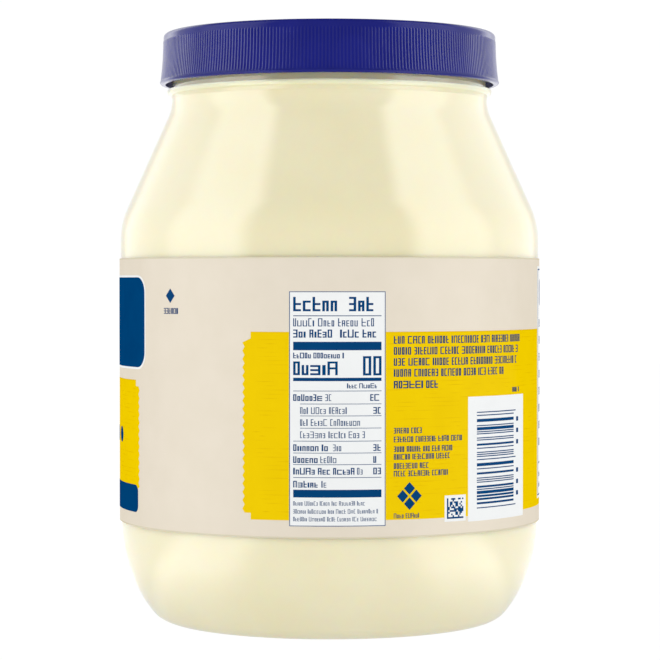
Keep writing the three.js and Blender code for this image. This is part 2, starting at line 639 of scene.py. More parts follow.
def band(lower: np.ndarray, upper: np.ndarray) -> list[tuple[int, ...]]:
    """Return the faces between two levels, where one has a whole multiple of the other's points.

    Args:
        lower: The point numbers of one level.
        upper: The point numbers of the next level.

    Returns:
        The faces as point numbers.
    """
    coarse, fine = (lower, upper) if len(lower) <= len(upper) else (upper, lower)
    share = len(fine) // len(coarse)
    faces: list[tuple[int, ...]] = []
    for side in range(len(coarse)):
        here = int(coarse[side])
        after = int(coarse[(side + 1) % len(coarse)])
        edge = [int(fine[(side * share + step) % len(fine)]) for step in range(share + 1)]
        if share == 1:
            faces.append((here, after, edge[1], edge[0]))
            continue
        middle = share if here == after else (share + 1) // 2
        faces += [(here, edge[i + 1], edge[i]) for i in range(middle)]
        faces += [(after, edge[i + 1], edge[i]) for i in range(middle, share)]
        if here != after:
            faces.append((here, after, edge[middle]))
    return faces


def ringed_object(
    name: str, levels: list[np.ndarray], closed: bool = False, crease_deg: float = CREASE_DEG
) -> bpy.types.Object:
    """Skin a stack of levels into one closed object.

    Args:
        name: The object's name.
        levels: The levels in order along the profile.
        closed: Whether the last level joins the first, as on a sleeve.
        crease_deg: Edges that turn by more than this stay sharp.

    Returns:
        The object, linked to the scene.
    """
    starts = np.cumsum([0] + [len(level) for level in levels])
    numbers = [np.arange(a, b) for a, b in zip(starts, starts[1:])]
    pairs = list(zip(numbers, numbers[1:]))
    if closed:
        pairs.append((numbers[-1], numbers[0]))
    faces = [face for low, high in pairs for face in band(low, high)]
    mesh = bpy.data.meshes.new(name)
    mesh.from_pydata([tuple(p) for p in np.concatenate(levels)], [], faces)
    return finished_object(name, mesh, crease_deg)


def finished_object(name: str, mesh: bpy.types.Mesh, crease_deg: float) -> bpy.types.Object:
    """Turn a mesh's faces outwards, shade it smooth and link it to the scene.

    Args:
        name: The object's name.
        mesh: The mesh.
        crease_deg: Edges that turn by more than this stay sharp.

    Returns:
        The new object.
    """
    work = bmesh.new()
    work.from_mesh(mesh)
    bmesh.ops.recalc_face_normals(work, faces=work.faces)
    work.to_mesh(mesh)
    work.free()
    mesh.shade_smooth()
    mesh.set_sharp_from_angle(angle=math.radians(crease_deg))
    made = bpy.data.objects.new(name, mesh)
    bpy.context.scene.collection.objects.link(made)
    return made


def dressed(made: bpy.types.Object, shade: Shade) -> bpy.types.Object:
    """Give a piece its finish and the body that it rides on.

    Args:
        made: The piece.
        shade: Its finish.

    Returns:
        The same piece.
    """
    made.data.materials.append(shade.value.material())
    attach(made, BODY)
    return made


def arc(centre: Point, radius: Point, start: float, end: float, steps: int) -> list[Point]:
    """Return points along an elliptical arc of a profile.

    Args:
        centre: The arc's centre as (radius, height).
        radius: Half its width and half its height.
        start: The first angle, in radians from outwards.
        end: The last angle.
        steps: The number of chords.

    Returns:
        Points as (radius, height).
    """
    angles = [start + (end - start) * i / steps for i in range(steps + 1)]
    return [(centre[0] + radius[0] * math.cos(a), centre[1] + radius[1] * math.sin(a)) for a in angles]


@dataclass
class JarProfile:
    """The blown jar's outline, from the middle of its foot to its rim."""

    wall_radius: float = 64.5 * MM
    wall: float = 1.0 * MM
    foot_inner_radius: float = 45 * MM
    foot_round: float = 8.3 * MM
    heel_radius: float = 44.4 * MM
    heel_turn: float = math.radians(38.4)
    push_up: float = 4.5 * MM
    shoulder_start: float = 116.9 * MM
    shoulder_radius: float = 25 * MM
    cone_angle: float = math.radians(24.2)
    waist_radius: float = 48.6 * MM
    waist_height: float = 160.6 * MM
    bead_radius: float = 50.1 * MM
    bead_round: float = 1.2 * MM
    bead_bottom: float = 161.5 * MM
    bead_top: float = 163.3 * MM
    bead_edge: float = 0.18 * MM
    bead_sink: float = 0.3
    neck_radius: float = 48.3 * MM
    neck_wall: float = 1.8 * MM
    rim_round: float = 0.4 * MM

    def base(self, inset: float) -> list[Point]:
        """Return the push-up under the foot, lifted by the inset."""
        shares = [i / 12 for i in range(13)]
        return [(self.foot_inner_radius * s, inset + self.push_up * (1 - s * s)) for s in shares]

    def body(self, inset: float) -> list[Point]:
        """Return heel, wall, shoulder and waist, moved inwards by the inset.

        Args:
            inset: The distance inside the outer surface.

        Returns:
            Points as (radius, height), upwards.
        """
        gap = self.heel_radius - self.foot_round
        heel_start = self.foot_round + gap * math.sin(self.heel_turn)
        cone_radius = self.wall_radius - self.shoulder_radius * (1 - math.cos(self.cone_angle))
        cone_height = self.shoulder_start + self.shoulder_radius * math.sin(self.cone_angle)
        narrowed = cone_radius - math.tan(self.cone_angle) * (self.waist_height - cone_height)
        waist_curve = (self.waist_radius - narrowed) / (1 / math.cos(self.cone_angle) - 1)
        foot_centre = (
            self.wall_radius - self.heel_radius + gap * math.cos(self.heel_turn),
            self.foot_round,
        )
        foot = arc(foot_centre, (self.foot_round - inset,) * 2, -math.pi / 2, -self.heel_turn, 16)
        heel_centre = (self.wall_radius - self.heel_radius, heel_start)
        heel = arc(heel_centre, (self.heel_radius - inset,) * 2, -self.heel_turn, 0, 20)
        shoulder_centre = (self.wall_radius - self.shoulder_radius, self.shoulder_start)
        shoulder_size = (self.shoulder_radius - inset,) * 2
        shoulder = arc(shoulder_centre, shoulder_size, 0, self.cone_angle, 12)
        waist_centre = (self.waist_radius + waist_curve, self.waist_height)
        waist_size = (waist_curve + inset,) * 2
        waist = arc(waist_centre, waist_size, math.pi + self.cone_angle, math.pi, 14)
        return [*foot, *heel[1:], *shoulder, *waist]

    def bead(self, inset: float) -> list[Point]:
        """Return the ring below the cap, which is rounded below and has a crisp upper edge.

        Args:
            inset: The distance inside the outer surface.

        Returns:
            Points as (radius, height), upwards.
        """
        outside = self.bead_radius - inset
        below = (outside - self.bead_round, self.bead_bottom + self.bead_round)
        top = self.bead_top - self.bead_sink * inset
        above = (outside - self.bead_edge, top - self.bead_edge)
        lower = arc(below, (self.bead_round,) * 2, -math.pi / 2, 0, 10)
        upper = arc(above, (self.bead_edge,) * 2, 0, math.pi / 2, 4)
        return [*lower, *upper]


@dataclass
class BlownJar:
    """The clear jar: a thin turned shell with a parting line up each side."""

    profile: JarProfile
    rim_height: float
    sides: int = 288
    seam_height: float = 0.05 * MM
    seam_half_width: float = 0.35 * MM

    def outline(self) -> list[Point]:
        """Return the shell's outline from the axis below round the rim to the axis inside.

        Returns:
            Points as (radius, height).
        """
        p = self.profile
        bore = p.neck_radius - p.neck_wall
        rim_low = self.rim_height - p.rim_round
        outer_rim = arc((p.neck_radius - p.rim_round, rim_low), (p.rim_round,) * 2, 0, math.pi / 2, 4)
        inner_rim = arc((bore + p.rim_round, rim_low), (p.rim_round,) * 2, math.pi / 2, math.pi, 4)
        outside = [*p.base(0), *p.body(0), *p.bead(0), (p.neck_radius, p.bead_top), *outer_rim]
        inside = [*p.base(p.wall), *p.body(p.wall), (bore, p.bead_top)]
        return [*outside, *inner_rim, *reversed(inside)]

    def build(self) -> bpy.types.Object:
        """Build the shell.

        Returns:
            The dressed piece, which stands for the CAD jar.
        """
        half_seam = self.seam_half_width / self.profile.wall_radius
        steps = [-1.0, -0.5, 0.0, 0.5, 1.0]
        around = set(np.round(np.linspace(0, 2 * math.pi, self.sides, endpoint=False), 9))
        for side in (math.pi / 2, 1.5 * math.pi):
            around = {a for a in around if abs(a - side) > 1.5 * half_seam}
            around |= {side + half_seam * step for step in steps}
        angles = np.array(sorted(around))
        off_seam = np.minimum(np.abs(angles - math.pi / 2), np.abs(angles - 1.5 * math.pi))
        lift = self.seam_height * np.clip(1 - (off_seam / half_seam) ** 2, 0, 1)
        outline = self.outline()
        inner_start = outline.index(max(outline, key=lambda point: point[1]))
        levels = []
        for number, (radius, height) in enumerate(outline):
            if radius < JOINED:
                levels.append(np.array([[0.0, 0.0, height]]))
                continue
            has_seam = number < inner_start and radius > self.profile.foot_inner_radius
            radii = radius + lift * has_seam
            columns = [radii * np.sin(angles), -radii * np.cos(angles), np.full(len(angles), height)]
            levels.append(np.column_stack(columns))
        made = dressed(ringed_object("jar_shell", levels), Shade.PET)
        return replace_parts(made, "jar")


@dataclass
class Filling:
    """The mayonnaise, which reaches just into the jar's wall, with a slightly domed top."""

    profile: JarProfile
    level: float
    sides: int = 192
    overlap: float = 0.1 * MM
    bead_inset: float = 0.3 * MM
    dome: float = 0.6 * MM

    def build(self) -> bpy.types.Object:
        """Build the filling.

        Returns:
            The dressed piece, which stands for the CAD filling.
        """
        p = self.profile
        inset = p.wall - self.overlap
        top_radius = p.neck_radius - inset
        shares = [1 - i / 8 for i in range(9)]
        top = [(top_radius * s, self.level - self.dome * s * s) for s in shares]
        bead = p.bead(self.bead_inset)
        outline = [*p.base(inset), *p.body(inset), *bead, (top_radius, bead[-1][1]), *top]
        levels = [ring(1 if r < JOINED else self.sides, z, r) for r, z in outline]
        made = dressed(ringed_object("mayonnaise_filling", levels), Shade.CREAM)
        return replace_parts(made, "mayonnaise")


@dataclass
class ScrewCap:
    """The blue screw cap: ribbed skirt, smooth top band, rounded rim and a shallow top panel."""

    top: float
    bottom: float
    radius: float = 51.35 * MM
    corner: float = 1.3 * MM
    flare: float = 0.8 * MM
    top_thickness: float = 1.6 * MM
    rim_radius: float = 52.4 * MM
    rim_round: float = 0.8 * MM
    rim_inner_radius: float = 50.7 * MM
    ceiling_radius: float = 49.8 * MM
    panel_radius: float = 46.5 * MM
    panel_depth: float = 0.4 * MM
    ribs: int = CAP_RIBS
    columns_per_rib: int = 6
    rib_depth: float = 0.1 * MM
    rib_top: float = RIB_TOP
    rib_bottom: float = RIB_BOTTOM
    run_out: float = 0.5 * MM
    rim_step: float = 0.15 * MM

    def skirt(self, height: float) -> float:
        """Return the radius over the rib crests at a height."""
        share = (self.rib_top - height) / (self.rib_top - self.rib_bottom)
        return self.radius + self.flare * share * share

    def ribbed(self, height: float, share: float) -> np.ndarray:
        """Return a ribbed level.

        Args:
            height: The level's height.
            share: The part of the full rib depth, from 0 to 1.

        Returns:
            An array of points.
        """
        count = self.ribs * self.columns_per_rib
        turn = np.arange(count) * (2 * math.pi / self.columns_per_rib)
        groove = (1 - np.cos(turn)) / 2
        crest = self.skirt(height) - self.rib_depth * (1 - share)
        return ring(count, height, crest - self.rib_depth * share * groove)

    def build(self) -> bpy.types.Object:
        """Build the cap.

        Returns:
            The dressed piece, which stands for the CAD cap.
        """
        smooth = self.radius - self.rib_depth
        ceiling = self.top - self.top_thickness
        rim_centre = (self.rim_radius - self.rim_round, self.bottom + self.rim_round)
        rim = arc(rim_centre, (self.rim_round,) * 2, -math.pi / 2, 0, 6)
        lower_edge = self.rib_bottom - self.run_out
        run_in = [math.sin(math.pi / 2 * i / 4) for i in range(5)]
        corner = arc((smooth - self.corner, self.top - self.corner), (self.corner,) * 2, 0, math.pi / 2, 8)
        panel_floor = self.top - self.panel_depth
        lip_centre = (self.panel_radius + self.panel_depth, panel_floor)
        lip = arc(lip_centre, (self.panel_depth,) * 2, math.pi / 2, math.pi, 4)
        levels = [ring(1, ceiling, 0)]
        levels += [ring(self.ribs, ceiling, self.ceiling_radius - self.corner / 2)]
        levels += [ring(self.ribs, ceiling - self.corner / 2, self.ceiling_radius)]
        levels += [ring(self.ribs, self.bottom, self.rim_inner_radius)]
        levels += [ring(self.ribs, z, r) for r, z in rim]
        levels += [ring(self.ribs, lower_edge - self.rim_step, self.rim_radius)]
        levels += [self.ribbed(lower_edge + self.run_out * i / 4, s) for i, s in enumerate(run_in)]
        rib_height = self.rib_top - self.run_out - self.rib_bottom
        levels += [self.ribbed(self.rib_bottom + rib_height * i / 7, 1.0) for i in range(1, 8)]
        run_off = [self.rib_top - self.run_out * (3 - i) / 4 for i in range(4)]
        levels += [self.ribbed(z, run_in[3 - i]) for i, z in enumerate(run_off)]
        levels += [ring(self.ribs, z, r) for r, z in corner]
        levels += [ring(self.ribs, z, r) for r, z in lip]
        levels += [ring(self.ribs, panel_floor, r * MM) for r in (40, 30, 20, 10, 2)]
        levels += [ring(1, panel_floor, 0)]
        made = ringed_object("screw_cap", levels, crease_deg=50.0)
        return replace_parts(dressed(made, Shade.BLUE), "cap")


# The strokes of a mark: left, right, bottom, top, middle. The marks spell nothing.
FORMS = ("lrbt", "lrt", "lrb", "lbt", "lrbt", "lbtm", "lrtm", "lbm", "rbtm")
MARK_WIDTHS = (0.5, 0.9, 1.0, 1.0, 1.1, 1.5)
# Shares of the capital height: the space between groups and the height of a low mark.
GROUP_SPACE = 0.34
LOW_MARK = 0.74
# The share of tall marks after a group's first.
TALL_SHARE = 0.25
# In strokes: the width below which a mark is a plain block, and the thickness of a cross stroke.
BLOCK_BELOW = 2.4
CROSS_STROKE = 0.8


class Weight(Enum):
    """How heavy greeked type is: mean mark width, gap and stroke, as shares of the height."""

    LIGHT = (0.36, 0.15, 0.12)
    BOLD = (0.50, 0.13, 0.18)
    CAPITALS = (0.40, 0.15, 0.15)


@dataclass
class InkPass:
    """One printed colour, or the painted shade along the label's edges: flat shapes in the label's own
    (along, up) plane, all at one level.
    """

    name: str
    shade: Shade
    level: float
    shapes: list[list[Point]] = field(default_factory=list)

    def box(self, left: float, right: float, bottom: float, top: float) -> None:
        """Add a rectangle, given in millimetres."""
        self.shape([(left, bottom), (right, bottom), (right, top), (left, top)])

    def shape(self, points: list[Point]) -> None:
        """Add an outline, given in millimetres and anticlockwise."""
        self.shapes.append([(u * MM, z * MM) for u, z in points])

    def rounded(self, left: float, right: float, bottom: float, top: float, radius: float) -> None:
        """Add a rectangle with rounded corners.

        Args:
            left: Left edge in millimetres along the label.
            right: Right edge.
            bottom: Lower edge in millimetres above the foot.
            top: Upper edge.
            radius: Corner radius in millimetres.
        """
        corners = [
            (right - radius, bottom + radius, -math.pi / 2),
            (right - radius, top - radius, 0.0),
            (left + radius, top - radius, math.pi / 2),
            (left + radius, bottom + radius, math.pi),
        ]
        points: list[Point] = []
        for u, z, start in corners:
            points += arc((u, z), (radius, radius), start, start + math.pi / 2, 8)
        self.shape(points)

    def ellipse(self, u: float, z: float, half_width: float, half_height: float) -> None:
        """Add an ellipse, given in millimetres."""
        self.shape(arc((u, z), (half_width, half_height), 0, 2 * math.pi, 48)[:-1])

    def diamond(self, u: float, z: float, half_width: float, half_height: float) -> None:
        """Add a diamond, given in millimetres."""
        self.shape(arc((u, z), (half_width, half_height), 0, 2 * math.pi, 4)[:-1])

    def type_line(
        self,
        left: float,
        right: float,
        bottom: float,
        height: float,
        weight: Weight,
        seed: int,
        mixed_case: bool = True,
    ) -> None:
        """Add a line of greeked type: random marks of letter size, set in groups.

        Args:
            left: Where the line starts.
            right: Where it ends at the latest.
            bottom: The baseline.
            height: The capital height.
            weight: How heavy the type is.
            seed: What the marks are drawn from.
            mixed_case: Whether most marks are low ones.
        """
        draw = random.Random(seed)
        mean_width, gap, stroke = (share * height for share in weight.value)
        at = left
        while at < right - mean_width:
            for place in range(draw.randint(3, 9)):
                tall = place == 0 or not mixed_case or draw.random() < TALL_SHARE
                width = mean_width * draw.choice(MARK_WIDTHS)
                if at + width > right:
                    break
                top = bottom + height * (1.0 if tall else LOW_MARK)
                self.mark(at, at + width, bottom, top, stroke, draw.choice(FORMS))
                at += width + gap
            at += GROUP_SPACE * height

    def mark(
        self, left: float, right: float, bottom: float, top: float, stroke: float, form: str
    ) -> None:
        """Add one mark of greeked type, or a plain block where it is narrow.

        Args:
            left: Left edge.
            right: Right edge.
            bottom: Lower edge.
            top: Upper edge.
            stroke: The strokes' thickness.
            form: Which strokes the mark has, as in FORMS.
        """
        if right - left < BLOCK_BELOW * stroke:
            self.box(left, right, bottom, top)
            return
        start = left + stroke * ("l" in form)
        end = right - stroke * ("r" in form)
        if start > left:
            self.box(left, start, bottom, top)
        if end < right:
            self.box(end, right, bottom, top)
        thin = CROSS_STROKE * stroke
        middle = (bottom + top - thin) / 2
        for part, low in (("b", bottom), ("m", middle), ("t", top - thin)):
            if part in form:
                self.box(start, end, low, low + thin)

    def build(self, sleeve: "LabelSleeve") -> bpy.types.Object:
        """Wrap the shapes round the sleeve as one thin closed layer.

        Args:
            sleeve: The label that carries the print.

        Returns:
            The dressed piece.
        """
        work = bmesh.new()
        for points in self.shapes:
            work.faces.new([work.verts.new((u, 0.0, z)) for u, z in points])
        step = 2 * math.pi * sleeve.print_radius / sleeve.sides
        reach = max(abs(v.co.x) for v in work.verts)
        for number in range(-int(reach / step) - 1, int(reach / step) + 2):
            bmesh.ops.bisect_plane(
                work,
                geom=[*work.verts, *work.edges, *work.faces],
                dist=JOINED,
                plane_co=(number * step, 0, 0),
                plane_no=(1, 0, 0),
            )
        lifted = bmesh.ops.extrude_face_region(work, geom=list(work.faces))
        for item in lifted["geom"]:
            if isinstance(item, bmesh.types.BMVert):
                item.co.y = self.level
        for vert in work.verts:
            angle = vert.co.x / sleeve.print_radius
            radius = sleeve.outer_radius - sleeve.bite + (vert.co.y + sleeve.bite if vert.co.y else 0)
            vert.co = Vector((radius * math.sin(angle), -radius * math.cos(angle), vert.co.z))
        bmesh.ops.triangulate(work, faces=[f for f in work.faces if len(f.verts) > 4])
        mesh = bpy.data.meshes.new(self.name)
        work.to_mesh(mesh)
        work.free()
        return dressed(finished_object(self.name, mesh, CREASE_DEG), self.shade)


@dataclass
class LabelSleeve:
    """The wrap-round film and its print, drawn from the middle of the side that the photo shows."""

    bottom: float
    top: float
    print_radius: float
    inner_radius: float = 64.54 * MM
    outer_radius: float = 64.86 * MM
    bite: float = 0.02 * MM
    sides: int = 288

    def build(self) -> list[bpy.types.Object]:
        """Build the film and its print.

        Returns:
            The dressed pieces. The film stands for the CAD label.
        """
        corner = 0.06 * MM
        profile = [
            (self.inner_radius, self.bottom),
            (self.outer_radius - corner, self.bottom),
            (self.outer_radius, self.bottom + corner),
            (self.outer_radius, self.top - corner),
            (self.outer_radius - corner, self.top),
            (self.inner_radius, self.top),
        ]
        levels = [ring(self.sides, z, r) for r, z in profile]
        film = dressed(ringed_object("label_film", levels, closed=True), Shade.FILM)
        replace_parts(film, "label")
        return [film, *[ink.build(self) for ink in self.inks()]]

    def inks(self) -> list[InkPass]:
        """Lay out the whole print.

        Returns:
            The passes in the order of printing.
        """
        yellow = InkPass("print_yellow", Shade.YELLOW, 0.02 * MM)
        streak = InkPass("print_ochre", Shade.STREAK, 0.035 * MM)
        white = InkPass("print_white", Shade.WHITE, 0.05 * MM)
        navy = InkPass("print_navy", Shade.NAVY, 0.07 * MM)
        # This pass is painted shade: a darker strip along the label's top and bottom edges.
        edge = InkPass("print_edge", Shade.EDGE_SHADE, 0.015 * MM)
        Artwork(yellow, streak, white, navy, edge).draw(self)
        return [edge, yellow, streak, white, navy]


@dataclass
class Artwork:
    """The print's layout, in millimetres: along the label from its middle, and up from the foot."""

    yellow: InkPass
    streak: InkPass
    white: InkPass
    navy: InkPass
    edge: InkPass

    def draw(self, sleeve: LabelSleeve) -> None:
        """Draw every panel.

        Args:
            sleeve: The label that is printed.
        """
        half = math.pi * sleeve.print_radius / MM
        low, high = sleeve.bottom / MM, sleeve.top / MM
        # A darker strip painted as shade along the label's top and bottom edges.
        margin, line = 0.1, 0.3
        self.edge.box(-half, half, low + margin, low + margin + line)
        self.edge.box(-half, half, high - margin - line, high - margin)
        self.field(-25.0, 176.0, 36.2, 90.0, seed=5)
        self.field(-196.0, -69.6, 40.0, 75.0, seed=9)
        self.facts_panel()
        self.contents_text()
        self.motifs()
        self.bar_code()
        self.square_code()
        self.side_panel()
        self.front_panel()

    def field(self, left: float, right: float, bottom: float, top: float, seed: int) -> None:
        """Draw a yellow field with pinked ends and uneven ochre streaks.

        Args:
            left: The valleys of the left edge.
            right: The valleys of the right edge.
            bottom: Lower edge.
            top: Upper edge.
            seed: What the streaks are drawn from.
        """
        tooth, cut, tip = 2.35, 1.9, 0.7
        count = int((top - bottom - 2 * cut) / tooth)
        rise = (top - bottom - 2 * cut) / count
        inner_left, inner_right = left + cut, right - cut
        low, high = bottom + cut, top - cut
        points: list[Point] = [(inner_left, bottom), (inner_right, bottom), (inner_right, low)]
        for i in range(count):
            points += [(right + tip, low + rise * (i + 0.5)), (right, low + rise * (i + 1))]
        points += [(inner_right, high), (inner_right, top), (inner_left, top), (inner_left, high)]
        for i in range(count):
            points += [(left - tip, high - rise * (i + 0.5)), (left, high - rise * (i + 1))]
        points += [(inner_left, low)]
        self.yellow.shape(points)
        draw = random.Random(seed)
        pitch, inked_share = 1.2, 0.62
        row = bottom + pitch
        while row < top - 0.8:
            at = inner_left + draw.uniform(0, 4)
            while at < inner_right - 2:
                reach = min(draw.uniform(2, 13), inner_right - at)
                thick = draw.uniform(0.12, 0.34)
                if draw.random() < inked_share:
                    middle, half = at + reach / 2, thick / 2
                    ends = [(at, row), (at + reach, row)]
                    self.streak.shape([ends[0], (middle, row - half), ends[1], (middle, row + half)])
                at += reach + draw.uniform(0.3, 3.5)
            row += pitch
        self.streak.box(inner_left, inner_right, top - 0.35, top)

    def thin_frame(self, left: float, right: float, bottom: float, top: float, line: float) -> None:
        """Draw a thin navy frame just inside the given edges.

        Args:
            left: Left edge.
            right: Right edge.
            bottom: Lower edge.
            top: Upper edge.
            line: The line's thickness.
        """
        self.navy.box(left, right, top - line, top)
        self.navy.box(left, right, bottom, bottom + line)
        self.navy.box(left, left + line, bottom + line, top - line)
        self.navy.box(right - line, right, bottom + line, top - line)

    def facts_panel(self) -> None:
        """Draw the white table: headings, rules, two thick bars and rows of greeked type."""
        left, right, bottom, top = -11.6, 16.25, 34.5, 101.6
        inner_left, inner_right = -10.4, 15.0
        navy, rule = self.navy, 0.22
        self.white.box(left, right, bottom, top)
        self.thin_frame(left + 0.05, right - 0.05, bottom + 0.05, top - 0.05, 0.2)
        navy.type_line(inner_left, 4.0, 95.9, 4.1, Weight.BOLD, 11)
        navy.type_line(5.6, inner_right, 95.9, 4.1, Weight.BOLD, 12)
        navy.box(inner_left, inner_right, 94.5, 94.5 + rule)
        navy.type_line(inner_left, 13.9, 91.6, 2.3, Weight.LIGHT, 13)
        navy.type_line(inner_left, 1.4, 88.4, 2.3, Weight.BOLD, 14)
        navy.type_line(3.0, inner_right, 88.4, 2.3, Weight.BOLD, 15)
        navy.box(inner_left, inner_right, 84.8, 87.2)
        navy.type_line(inner_left, 4.7, 82.5, 1.6, Weight.BOLD, 16)
        navy.type_line(inner_left, 2.9, 77.7, 3.9, Weight.BOLD, 17)
        navy.mark(9.6, 12.0, 77.6, 83.1, 0.75, "lrbt")
        navy.mark(12.6, inner_right, 77.6, 83.1, 0.75, "lrbt")
        navy.box(inner_left, inner_right, 76.0, 76.95)
        navy.type_line(5.0, inner_right, 73.95, 1.4, Weight.BOLD, 18)
        rules = [73.1, 69.4, 66.0, 62.5, 58.8, 55.4, 52.1, 48.4]
        indents = [0, 2.0, 2.0, 2.0, 0, 0, 0, 0]
        bold_ends = [-1.9, None, None, None, 0.3, -3.3, 7.2, -3.0]
        light_ends = [1.4, 6.4, 10.0, 10.9, 3.6, 2.1, 9.5, -0.9]
        shares = [11.7, 12.6, None, None, 12.6, 12.6, 12.6, None]
        for i, height in enumerate(rules):
            start = inner_left + indents[i]
            base = height - 2.75
            navy.box(start, inner_right, height, height + 0.16)
            if bold_ends[i] is None:
                navy.type_line(start, light_ends[i], base, 1.9, Weight.LIGHT, 30 + i)
            else:
                navy.type_line(start, bold_ends[i], base, 1.9, Weight.BOLD, 30 + i)
                navy.type_line(bold_ends[i] + 0.7, light_ends[i], base, 1.9, Weight.LIGHT, 40 + i)
            if shares[i] is not None:
                navy.type_line(shares[i], inner_right, base, 1.9, Weight.BOLD, 50 + i, mixed_case=False)
        navy.box(inner_left, inner_right, 42.8, 45.0)
        for i, (base, end) in enumerate([(40.5, 10.5), (38.2, 14.5), (36.0, 14.0)]):
            navy.type_line(inner_left, end, base, 1.25, Weight.LIGHT, 60 + i)

    def contents_text(self) -> None:
        """Draw the two blocks of greeked capitals on the yellow field."""
        navy = self.navy
        ends = [68.9, 68.3, 67.2, 59.4]
        for i, end in enumerate(ends):
            navy.type_line(18.7, end, 86.6 - 3.15 * i, 2.15, Weight.CAPITALS, 70 + i, False)
        navy.type_line(18.7, 33.3, 73.8, 2.15, Weight.BOLD, 75, False)
        navy.type_line(64.2, 68.9, 71.7, 1.4, Weight.LIGHT, 76, False)
        block = [(60.9, 27.7), (58.4, 41.4), (55.6, 38.1), (53.4, 36.7), (50.8, 29.9), (48.6, 36.7)]
        for i, (base, end) in enumerate(block):
            navy.type_line(18.7, end, base, 1.6, Weight.CAPITALS, 80 + i, False)
        navy.type_line(18.7, 27.5, 36.6, 1.4, Weight.LIGHT, 90)

    def motifs(self) -> None:
        """Draw the small generic motifs: four diamonds on the yellow, and one over a short line."""
        for u, z in ((21.4, 42.9), (25.6, 42.9), (23.5, 45.1), (23.5, 40.7)):
            self.navy.diamond(u, z, 1.7, 1.8)
        self.navy.diamond(-52.0, 100.2, 1.9, 2.1)
        self.navy.type_line(-54.9, -48.6, 94.9, 1.7, Weight.CAPITALS, 95, False)

    def bar_code(self) -> None:
        """Draw a made-up ladder of bars on white, with short dashes beside it."""
        self.white.box(43.5, 71.4, 34.6, 70.9)
        draw = random.Random(21)
        row, module = 38.2, 0.3
        while row < 66.4:
            thick = module * draw.choice([1, 1, 2, 2, 3])
            long_bar = row < 39.0 or row > 65.6 or abs(row - 52.4) < 0.5
            self.navy.box(47.0, 66.2 if long_bar else 65.0, row, min(row + thick, 66.7))
            row += thick + module * draw.choice([1, 1, 2, 3])
        for height in (41.0, 44.4, 47.8, 56.2, 59.6, 63.0):
            self.navy.box(66.6, 67.9, height, height + 1.3)

    def square_code(self) -> None:
        """Draw a made-up square of cells, filled by a seeded rule."""
        left, bottom, size, cells = 35.75, 35.8, 5.95, 12
        self.white.box(34.95, 42.6, 35.0, 42.6)
        draw = random.Random(33)
        cell = size / cells
        for row in range(cells):
            run_start = None
            for column in range(cells + 1):
                border = row == 0 or column == 0
                dark = column < cells and (border or draw.random() < 0.48)
                if dark and run_start is None:
                    run_start = column
                if not dark and run_start is not None:
                    low = bottom + row * cell
                    self.navy.box(left + run_start * cell, left + column * cell, low, low + cell)
                    run_start = None

    def side_panel(self) -> None:
        """Draw the plain white panel round the right side, with a navy plaque and greeked lines."""
        left, right, bottom, top = 87.6, 160.0, 38.2, 109.0
        self.white.box(left, right, bottom, top)
        self.thin_frame(left + 0.8, right - 0.8, bottom + 0.8, top - 0.8, 0.35)
        self.navy.rounded(left + 5, right - 5, 97.0, 105.0, 2.0)
        for i in range(8):
            base = 90.5 - 5.2 * i
            end = right - (24 if i % 4 == 3 else 7)
            self.navy.type_line(left + 4, end, base, 2.3, Weight.CAPITALS, 100 + i, False)
        self.navy.box(left + 4, right - 4, 48.6, 49.2)
        for i in range(2):
            self.navy.type_line(left + 4, right - 12, 44.6 - 3.2 * i, 1.6, Weight.LIGHT, 110 + i)

    def front_panel(self) -> None:
        """Draw the generic main panel: a bare navy plaque over a white oval on the yellow field."""
        middle = -131.0
        self.white.rounded(middle - 62.2, middle + 66.2, 78.2, 106.2, 5.0)
        self.navy.rounded(middle - 61.6, middle + 65.6, 78.8, 105.6, 4.6)
        self.white.ellipse(middle, 58.0, 25.0, 13.5)
        for offset in (-44.0, -36.0, 36.0, 44.0):
            self.navy.ellipse(middle + offset, 58.0, 2.4, 2.4)
        self.navy.rounded(middle - 52.0, middle + 61.0, 35.4, 43.6, 2.0)


@dataclass(frozen=True)
class SoftPanel:
    """A bank of soft light, alike on both sides, as the jar sees it: azimuth 0 is the camera's side."""

    near_deg: float
    far_deg: float
    low_deg: float
    high_deg: float
    radiance: float
    soft_deg: float = 8.0

    def glow(
        self,
        tree: bpy.types.NodeTree,
        across: bpy.types.NodeSocket,
        up: bpy.types.NodeSocket,
        others: bpy.types.NodeSocket | float,
    ) -> bpy.types.NodeSocket:
        """Add the panel's radiance to that of the others.

        Args:
            tree: The world's node tree.
            across: The direction's angle from the camera's side.
            up: The direction's angle above the horizon.
            others: The radiance so far.

        Returns:
            The summed radiance's output socket.
        """
        beside = window(tree, across, (self.near_deg, self.far_deg), self.soft_deg)
        above = window(tree, up, (self.low_deg, self.high_deg), self.soft_deg)
        shape = add_node(tree, "ShaderNodeMath", {"operation": "MULTIPLY"}, {0: beside, 1: above})
        total = add_node(
            tree,
            "ShaderNodeMath",
            {"operation": "MULTIPLY_ADD"},
            {0: shape.outputs[0], 1: self.radiance, 2: others},
        )
        return total.outputs[0]


